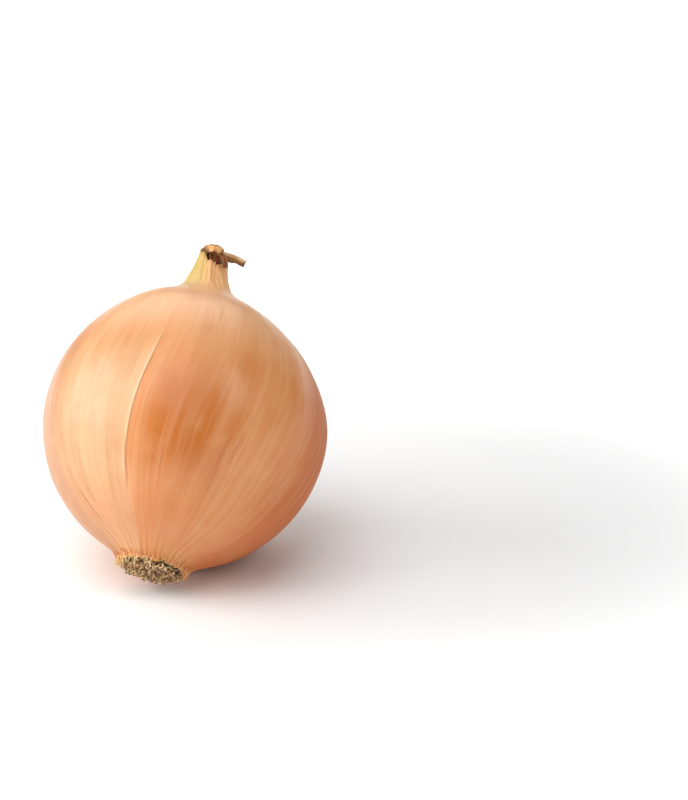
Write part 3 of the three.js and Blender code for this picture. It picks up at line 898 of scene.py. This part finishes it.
def dry_skin_material():
    """The satin, papery golden skin: deeper orange where the next scale shows and paler at the shoulder,
    with painted sheen on the shoulder, painted highlights on the lit front left and along the outer skin's
    edge, and painted shade on the left rim, the right side and beside the edge.
    """
    material, shades, shader, fibres = new_material("dry_skin", 62, 1.7)
    height = shades.read("own_height")
    outermost = shades.read("outermost")
    past_edge = shades.read("past_edge")
    # the angle round the bulb, from a vector because a single value would break at the back
    direction = shades.node("ShaderNodeSeparateXYZ")
    shades.feed(direction.inputs["Vector"], shades.read("round", "Vector"))
    turn = shades.math("ARCTAN2", direction.outputs["Y"], direction.outputs["X"])

    golden = srgb(214, 136, 76)
    pale_golden = srgb(228, 158, 100)
    deep = srgb(194, 108, 44)
    warm_side_and_shade = srgb(204, 104, 32)
    veil = srgb(216, 170, 124)
    left_rim_shade_colour = srgb(178, 112, 54)
    foot_tan = srgb(216, 134, 76)
    foot_yellow = srgb(216, 144, 72)
    shoulder_pink_and_sheen = srgb(240, 182, 134)
    red_brown = srgb(168, 86, 42)
    mark_red = srgb(176, 74, 32)
    cream = srgb(246, 208, 164)
    straw = srgb(208, 179, 106)
    neck_tan = srgb(240, 182, 122)

    def in_degrees(low, high, to_low=0.0, to_high=1.0):
        return shades.span(turn, math.radians(low), math.radians(high), to_low, to_high)

    # broad shades
    broad = shades.span(fibres["Broad"], 0.34, 0.66)
    colour = shades.mix(shades.span(broad, 0, 1, 0.0, 0.45), golden, pale_golden)
    low_enough = shades.span(height, 12, -4)
    high_enough = shades.span(height, -30, -17)
    right_of_edge = shades.times(shades.span(past_edge, 0, 10), in_degrees(9, 28, 1.0, 0.0))
    uncovered = shades.times(right_of_edge, shades.times(low_enough, high_enough))
    colour = shades.mix(shades.times(uncovered, 0.8), colour, deep)
    right_side_deep_and_shaded = shades.times(in_degrees(38, 74), in_degrees(165, 120))
    shaded_left_rim = shades.times(in_degrees(-45, -74), in_degrees(-170, -120))
    left_part = shades.times(in_degrees(-12, -24), in_degrees(-170, -120))
    # the right side deeper orange: partly the next scale's own colour, partly painted shade
    colour = shades.mix(shades.times(right_side_deep_and_shaded, 0.7), colour, warm_side_and_shade)
    colour = shades.mix(shades.span(height, -22, -38, 0.0, 0.9), colour, foot_tan)
    colour = shades.mix(shades.span(height, -37.5, -41, 0.0, 0.7), colour, foot_yellow)
    left_foot = shades.times(left_part, shades.span(height, -20, -30))
    colour = shades.mix(shades.times(left_foot, 0.5), colour, veil)
    # paler pink towards the shoulder: partly the skin's own colour, partly painted sheen
    colour = shades.mix(shades.span(height, 6, 28), colour, shoulder_pink_and_sheen)
    # the outermost skin paler: its own colour, and paler still towards the lit front left as a painted
    # highlight
    towards_left = shades.math("COSINE", shades.math("ADD", turn, math.radians(60)))
    veil_and_painted_highlight = shades.times(outermost, shades.span(towards_left, -0.8, 0.5, 0.35, 0.78))
    colour = shades.mix(veil_and_painted_highlight, colour, veil)
    # painted shade: the far left rim is mixed towards a dark tan, as if it were shaded
    colour = shades.mix(shades.times(shaded_left_rim, 0.8), colour, left_rim_shade_colour)

    # soft mottling
    onto_skin = shades.node("ShaderNodeMapping")
    shades.feed(onto_skin.inputs["Vector"], shades.node("ShaderNodeTexCoord").outputs["Object"])
    mottling = shades.node("ShaderNodeTexNoise")
    shades.feed(mottling.inputs["Vector"], onto_skin.outputs["Vector"])
    mottling.inputs["Scale"].default_value = 110
    mottling.inputs["Detail"].default_value = 2
    reddened = shades.span(mottling.outputs["Fac"], 0.5, 0.68)
    colour = shades.mix(shades.times(reddened, 0.16), colour, srgb(206, 112, 58))
    paled = shades.span(mottling.outputs["Fac"], 0.48, 0.34)
    colour = shades.mix(shades.times(paled, 0.13), colour, srgb(232, 176, 128))

    # painted shade on the right flank: the skin there is darkened to a deep orange as if shaded, and made
    # rougher
    shaded_right_flank = shades.times(in_degrees(52, 76), in_degrees(150, 96))
    colour = shades.mix(shades.times(shaded_right_flank, 0.5), colour, srgb(186, 88, 20))

    # streaks, more of them towards the root and in patches
    towards_root = shades.span(height, -4, -24, 0.5, 1.0)
    towards_root = shades.times(towards_root, shades.span(height, -34, -20, 0.15, 1.0))
    patchy = shades.times(towards_root, shades.span(broad, 0.2, 0.8, 1.0, 0.45))
    middling = shades.span(fibres["Middling"], 0.42, 0.7)
    colour = shades.mix(shades.times(middling, 0.12), colour, cream)
    middling_dark = shades.times(shades.span(fibres["Middling"], 0.46, 0.26), patchy)
    colour = shades.mix(shades.times(middling_dark, 0.24), colour, red_brown)
    fine_dark = shades.times(shades.span(fibres["Fine"], 0.44, 0.26), patchy)
    colour = shades.mix(shades.times(fine_dark, 0.4), colour, red_brown)
    fine_light = shades.span(fibres["Fine"], 0.56, 0.76)
    colour = shades.mix(shades.times(fine_light, 0.15), colour, cream)

    # the outermost skin's edge: a pale line along it, partly its own frayed edge and partly a painted
    # highlight where it curls up, with a thin dark line beside it that is painted shadow
    edge_shows = shades.times(shades.span(height, -29, -22), shades.span(height, 17, 3))
    in_front = shades.times(in_degrees(-70, -50), in_degrees(50, 30))
    edge_shows = shades.times(edge_shows, in_front)
    rim = shades.times(shades.span(past_edge, -1.5, -0.25), shades.span(past_edge, 0.3, 0))
    rim = shades.times(rim, edge_shows)
    colour = shades.mix(shades.times(rim, 0.48), colour, cream)
    edge_shadow_line = shades.times(shades.span(past_edge, 0.05, 0.3), shades.span(past_edge, 0.95, 0.4))
    edge_shadow_line = shades.times(edge_shadow_line, edge_shows)
    colour = shades.mix(shades.times(edge_shadow_line, 0.14), colour, red_brown)

    for start_turn, start_height, end_turn, end_height, half_width, strength in skin_marks:
        mark = shades.node("ShaderNodeGroup", node_tree=grown_mark).inputs
        shades.feed(mark["Turn"], turn)
        shades.feed(mark["Height"], height)
        mark["Start Turn"].default_value = math.radians(start_turn)
        mark["Start Height"].default_value = start_height
        mark["End Turn"].default_value = math.radians(end_turn)
        mark["End Height"].default_value = end_height
        mark["Width"].default_value = math.radians(half_width)
        mask = mark["Turn"].node.outputs["Mask"]
        colour = shades.mix(shades.times(mask, strength), colour, mark_red)

    # the neck
    around = shades.math("COSINE", shades.math("ADD", turn, math.radians(80)))
    neck_colour = shades.mix(shades.span(around, -0.1, 0.8), neck_tan, straw)
    neck_dark = shades.span(fibres["Middling"], 0.48, 0.28)
    neck_colour = shades.mix(shades.times(neck_dark, 0.32), neck_colour, srgb(184, 120, 66))
    neck_light = shades.span(fibres["Fine"], 0.52, 0.72)
    neck_colour = shades.mix(shades.times(neck_light, 0.3), neck_colour, cream)
    mouth_brown = srgb(150, 84, 44)
    neck_colour = shades.mix(shades.span(height, 48.6, 50.6, 0.0, 0.35), neck_colour, mouth_brown)
    colour = shades.mix(shades.span(height, 34, 43), colour, neck_colour)
    shades.feed(shader.inputs["Base Color"], colour)

    rough = shades.span(fibres["Middling"], 0.3, 0.7, 0.28, 0.4)
    rough = shades.math("ADD", rough, shades.span(height, 36, 46, 0.0, 0.2))
    rough = shades.math("ADD", rough, shades.times(shaded_right_flank, 0.35))
    shades.feed(shader.inputs["Roughness"], rough)
    fibre_bump(shades, shader, fibres, 0.25, 0.0004)
    shader.inputs["Specular IOR Level"].default_value = 0.42
    shader.inputs["Coat Weight"].default_value = 0.1
    shader.inputs["Coat Roughness"].default_value = 0.25
    shader.inputs["Subsurface Weight"].default_value = 0.06
    shader.inputs["Subsurface Radius"].default_value = (0.004, 0.002, 0.001)
    shader.inputs["Subsurface Scale"].default_value = 1
    return material


finished("onion_bulb", bulb_mesh(), dry_skin_material(), "bulb")


def root_material():
    """Dry root fibres, each from cream to brown, and darker towards its foot, which is painted shade in
    the gaps of the mat.
    """
    material, shades, shader, fibres = new_material("dry_root", 4, 1.2)
    tint = shades.read("tint")
    along = shades.read("along")
    colour = shades.mix(shades.span(tint, 0.35, 0.9), srgb(160, 104, 56), srgb(248, 218, 168))
    colour = shades.mix(shades.span(tint, 0.35, 0.1), colour, srgb(92, 58, 30))
    # painted shade: each fibre darkens to near black towards its foot, and so does the mat between them
    colour = shades.mix(shades.span(along, 1.7, 0.5), colour, srgb(46, 27, 13))
    speckled = shades.span(fibres["Middling"], 0.4, 0.65)
    colour = shades.mix(shades.times(speckled, 0.3), colour, srgb(240, 212, 168))
    shades.feed(shader.inputs["Base Color"], colour)
    shades.feed(shader.inputs["Roughness"], shades.span(fibres["Middling"], 0.3, 0.7, 0.65, 0.85))
    fibre_bump(shades, shader, fibres, 0.4, 0.0002)
    return material


def fringe_material():
    """Torn skin fibres: skin coloured where they leave it, and yellower and paler at their tips."""
    material, shades, shader, fibres = new_material("torn_skin", 4, 1.2)
    tint = shades.read("tint")
    along = shades.read("along")
    tip = shades.mix(shades.span(tint, 0.0, 0.85), srgb(206, 132, 72), srgb(236, 200, 128))
    tip = shades.mix(shades.span(tint, 1.0, 1.3), tip, srgb(246, 190, 128))
    colour = shades.mix(shades.span(along, -0.9, 0.4), srgb(226, 146, 84), tip)
    streaked = shades.span(fibres["Middling"], 0.4, 0.65)
    colour = shades.mix(shades.times(streaked, 0.25), colour, srgb(250, 226, 180))
    shades.feed(shader.inputs["Base Color"], colour)
    shades.feed(shader.inputs["Roughness"], shades.span(fibres["Middling"], 0.3, 0.7, 0.5, 0.7))
    fibre_bump(shades, shader, fibres, 0.3, 0.0002)
    return material


def leaf_material():
    """Withered leaf: tan, olive or dark brown by blade, with fibres along it and a dark thin rim. The rim
    and a darker lower half also paint shade along the rolled blade's underside.
    """
    material, shades, shader, fibres = new_material("dead_leaf", 3, 0.35)
    tint = shades.read("tint")
    edge = shades.read("edge")
    over = shades.read("over")
    colour = shades.mix(shades.span(tint, 0.05, 0.2), srgb(146, 70, 30), srgb(176, 98, 50))
    colour = shades.mix(shades.span(tint, 0.2, 0.35), colour, srgb(230, 164, 98))
    colour = shades.mix(shades.span(tint, 0.4, 0.8), colour, srgb(214, 172, 112))
    pale = shades.span(tint, 0.1, 0.35, 0.12, 0.45)
    streaked = shades.span(fibres["Fine"], 0.42, 0.66)
    colour = shades.mix(shades.times(streaked, pale), colour, srgb(248, 208, 150))
    furrowed = shades.span(fibres["Middling"], 0.48, 0.3)
    colour = shades.mix(shades.times(furrowed, 0.45), colour, srgb(140, 78, 34))
    on_long = shades.span(tint, 0.7, 0.78)
    stripe = shades.times(shades.span(over, -0.04, 0.03), shades.span(over, 0.14, 0.08))
    stripe = shades.times(stripe, on_long)
    colour = shades.mix(shades.times(stripe, 0.8), colour, srgb(206, 108, 44))
    # painted shade: the long rolled blade's lower half is darkened
    painted_underside_shade = shades.times(shades.span(over, 0.24, 0.36), on_long)
    colour = shades.mix(shades.times(painted_underside_shade, 0.8), colour, srgb(126, 88, 42))
    # a dark thin rim on every blade, which also paints shade where the rolled blade's edges meet
    # underneath
    dark_rim_and_shade = shades.times(shades.span(edge, 0.72, 0.95), 0.75)
    colour = shades.mix(dark_rim_and_shade, colour, srgb(104, 66, 32))
    shades.feed(shader.inputs["Base Color"], colour)
    shades.feed(shader.inputs["Roughness"], shades.span(fibres["Middling"], 0.3, 0.7, 0.45, 0.7))
    fibre_bump(shades, shader, fibres, 0.4, 0.0002)
    return material


finished("root_mat", root_tuft_mesh(), root_material(), "root_tuft", 80)
finished("torn_fringe", fringe_mesh(), fringe_material(), "bulb", 60)
finished("leaf_ends_dry", leaf_ends_mesh(), leaf_material(), "leaf_ends", 50)

# The table and its surroundings.
floor_bm = bmesh.new()
bmesh.ops.create_grid(floor_bm, x_segments=1, y_segments=1, size=4)
floor_mesh = bpy.data.meshes.new("table_top")
floor_bm.to_mesh(floor_mesh)
floor_bm.free()
table_top = bpy.data.objects.new("table_top", floor_mesh)
bpy.context.scene.collection.objects.link(table_top)
# the white table glows a little, as if lit by lamps of its own, but not in the onion's shadow
table_white = bpy.data.materials.new("table_white")
table_white.use_nodes = True
table_shades = Shades(table_white.node_tree)
table_shader = table_white.node_tree.nodes["Principled BSDF"]
table_shader.inputs["Base Color"].default_value = (0.92, 0.92, 0.92, 1)
table_shader.inputs["Roughness"].default_value = 0.6
table_shader.inputs["Emission Color"].default_value = (1, 1, 1, 1)
on_table = table_shades.node("ShaderNodeMapping")
table_shades.feed(on_table.inputs["Vector"], table_shades.node("ShaderNodeTexCoord").outputs["Object"])
on_table.inputs["Location"].default_value = (-0.07, -0.02, 0)
from_onion = table_shades.node("ShaderNodeVectorMath", operation="LENGTH")
table_shades.feed(from_onion.inputs[0], on_table.outputs["Vector"])
near_glow = table_shades.span(from_onion.outputs["Value"], 0.055, 0.17, 0.0, 0.36)
far_glow = table_shades.span(from_onion.outputs["Value"], 0.5, 1.6, 0.0, 0.6)
table_glow = table_shades.math("ADD", near_glow, far_glow)
table_shades.feed(table_shader.inputs["Emission Strength"], table_glow)
floor_mesh.materials.append(table_white)

world = bpy.data.worlds.new("white_room")
bpy.context.scene.world = world
world.use_nodes = True
room = Shades(world.node_tree)
room_light = world.node_tree.nodes["Background"]
room_light.inputs["Color"].default_value = (1, 1, 1, 1)
seen = room.node("ShaderNodeLightPath").outputs["Is Camera Ray"]
room.feed(room_light.inputs["Strength"], room.math("ADD", seen, 0.07))

lights_aim = Vector((0, 0, 0.04))


def softbox(name, azimuth, elevation, distance, width, height, power):
    """A soft light aimed at the onion. Azimuth 0 is in front of it and grows to the right."""
    light = bpy.data.lights.new(name, "AREA")
    light.shape = "RECTANGLE"
    light.size = width
    light.size_y = height
    light.energy = power
    obj = bpy.data.objects.new(name, light)
    around = math.radians(azimuth)
    up = math.radians(elevation)
    towards = Vector((math.sin(around) * math.cos(up), -math.cos(around) * math.cos(up), math.sin(up)))
    obj.location = lights_aim + towards * distance
    obj.rotation_euler = (-towards).to_track_quat("-Z", "Y").to_euler()
    bpy.context.scene.collection.objects.link(obj)


# name, azimuth, elevation, distance, width, height and power
softboxes = [
    ("left_softbox", -87, 22, 1.1, 0.9, 0.8, 10.5),
    ("right_softbox", 56, 38, 1.4, 0.6, 0.8, 4.5),
    ("front_softbox", -35, 60, 1.5, 1.4, 1.2, 12),
    ("top_softbox", 0, 89, 1.4, 1.6, 1.6, 4),
    ("back_softbox", -170, 40, 1.4, 1.6, 0.9, 6),
]
for softbox_row in softboxes:
    softbox(*softbox_row)

# The camera: a long lens a little above the onion, which stands left of the picture's middle.
camera_data = bpy.data.cameras.new("camera")
camera = bpy.data.objects.new("camera", camera_data)
bpy.context.scene.collection.objects.link(camera)
bpy.context.scene.camera = camera
picture_width, picture_height = 688, 800
camera_elevation = math.radians(22)
camera_distance = 0.7
focal_pixels = 2478
camera_data.sensor_width = 36
camera_data.lens = focal_pixels * camera_data.sensor_width / picture_height
camera_data.clip_start = 0.01
onion_middle = Vector((0, 0, 0.0401))
onion_pixel = (185, 424)
looking = Vector((0, math.cos(camera_elevation), -math.sin(camera_elevation)))
camera.location = onion_middle - looking * camera_distance
yaw = math.atan((picture_width / 2 - onion_pixel[0]) / focal_pixels) / math.cos(camera_elevation)
pitch = math.atan((onion_pixel[1] - picture_height / 2) / focal_pixels)
looking.rotate(Matrix.Rotation(-yaw, 3, "Z"))
sideways = looking.cross(Vector((0, 0, 1))).normalized()
looking.rotate(Matrix.Rotation(pitch, 3, sideways))
camera.rotation_euler = looking.to_track_quat("-Z", "Y").to_euler()

bpy.context.scene.view_settings.view_transform = "Standard"
